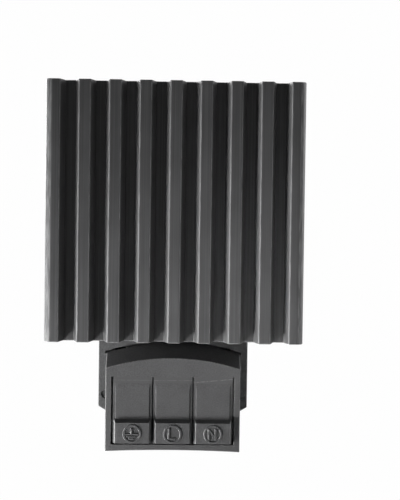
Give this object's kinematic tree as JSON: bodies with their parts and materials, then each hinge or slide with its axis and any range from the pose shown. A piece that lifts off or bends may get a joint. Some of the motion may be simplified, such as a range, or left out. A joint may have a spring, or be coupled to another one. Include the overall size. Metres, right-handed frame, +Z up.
{
  "type": "enclosure heater",
  "caption": "Convection heater for cabinets: upright finned black aluminium extrusion on a rail clip, with a plastic terminal housing below that has press levers for earth, line and neutral.",
  "frame": {"origin": "middle of the front face of the 35 mm mounting rail, where the clip seats on it", "axes": "+X to the right seen from the front, +Y to the back towards the rail, +Z up"},
  "size_m": [0.09, 0.0522, 0.1278],
  "materials": {
    "anodised_aluminium": "satin",
    "heating_stone": "matte",
    "electrode_sheet": "satin",
    "insulating_film": "gloss",
    "bare_aluminium": "satin",
    "silicone": "matte",
    "lead_insulation": "satin",
    "black_plastic": "matte",
    "lever_plastic": "matte",
    "tinned_brass": "satin",
    "spring_steel": "satin",
    "screw_steel": "satin",
    "clip_plastic": "matte"
  },
  "bodies": {
    "housing": {"heatsink": "anodised_aluminium", "ptc_stones": "heating_stone", "electrode_front": "electrode_sheet", "electrode_rear": "electrode_sheet", "insulation_sleeve": "insulating_film", "pressure_plate": "bare_aluminium", "channel_plug": "silicone", "line_lead": "lead_insulation", "neutral_lead": "lead_insulation", "terminal_base": "black_plastic", "terminal_cover": "black_plastic", "earth_contact": "tinned_brass", "line_contact": "tinned_brass", "neutral_contact": "tinned_brass", "earth_spring": "spring_steel", "line_spring": "spring_steel", "neutral_spring": "spring_steel", "earth_screw": "screw_steel", "base_screws": "screw_steel", "din_clip": "clip_plastic", "clip_screws": "screw_steel"},
    "earth_lever": {"earth_lever": "lever_plastic"},
    "line_lever": {"line_lever": "lever_plastic"},
    "neutral_lever": {"neutral_lever": "lever_plastic"}
  },
  "joints": [
    {"name": "earth_lever_press", "type": "hinge", "parent": "housing", "child": "earth_lever", "pos_m": [-0.0139, -0.0455, -0.0581], "axis": [1, 0, 0], "range_deg": [0, 6], "stiffness_Nm_per_rad": 0.5, "deforming": ["earth_spring"]},
    {"name": "line_lever_press", "type": "hinge", "parent": "housing", "child": "line_lever", "pos_m": [0, -0.0455, -0.0581], "axis": [1, 0, 0], "range_deg": [0, 6], "stiffness_Nm_per_rad": 0.5, "deforming": ["line_spring"]},
    {"name": "neutral_lever_press", "type": "hinge", "parent": "housing", "child": "neutral_lever", "pos_m": [0.0139, -0.0455, -0.0581], "axis": [1, 0, 0], "range_deg": [0, 6], "stiffness_Nm_per_rad": 0.5, "deforming": ["neutral_spring"]}
  ]
}
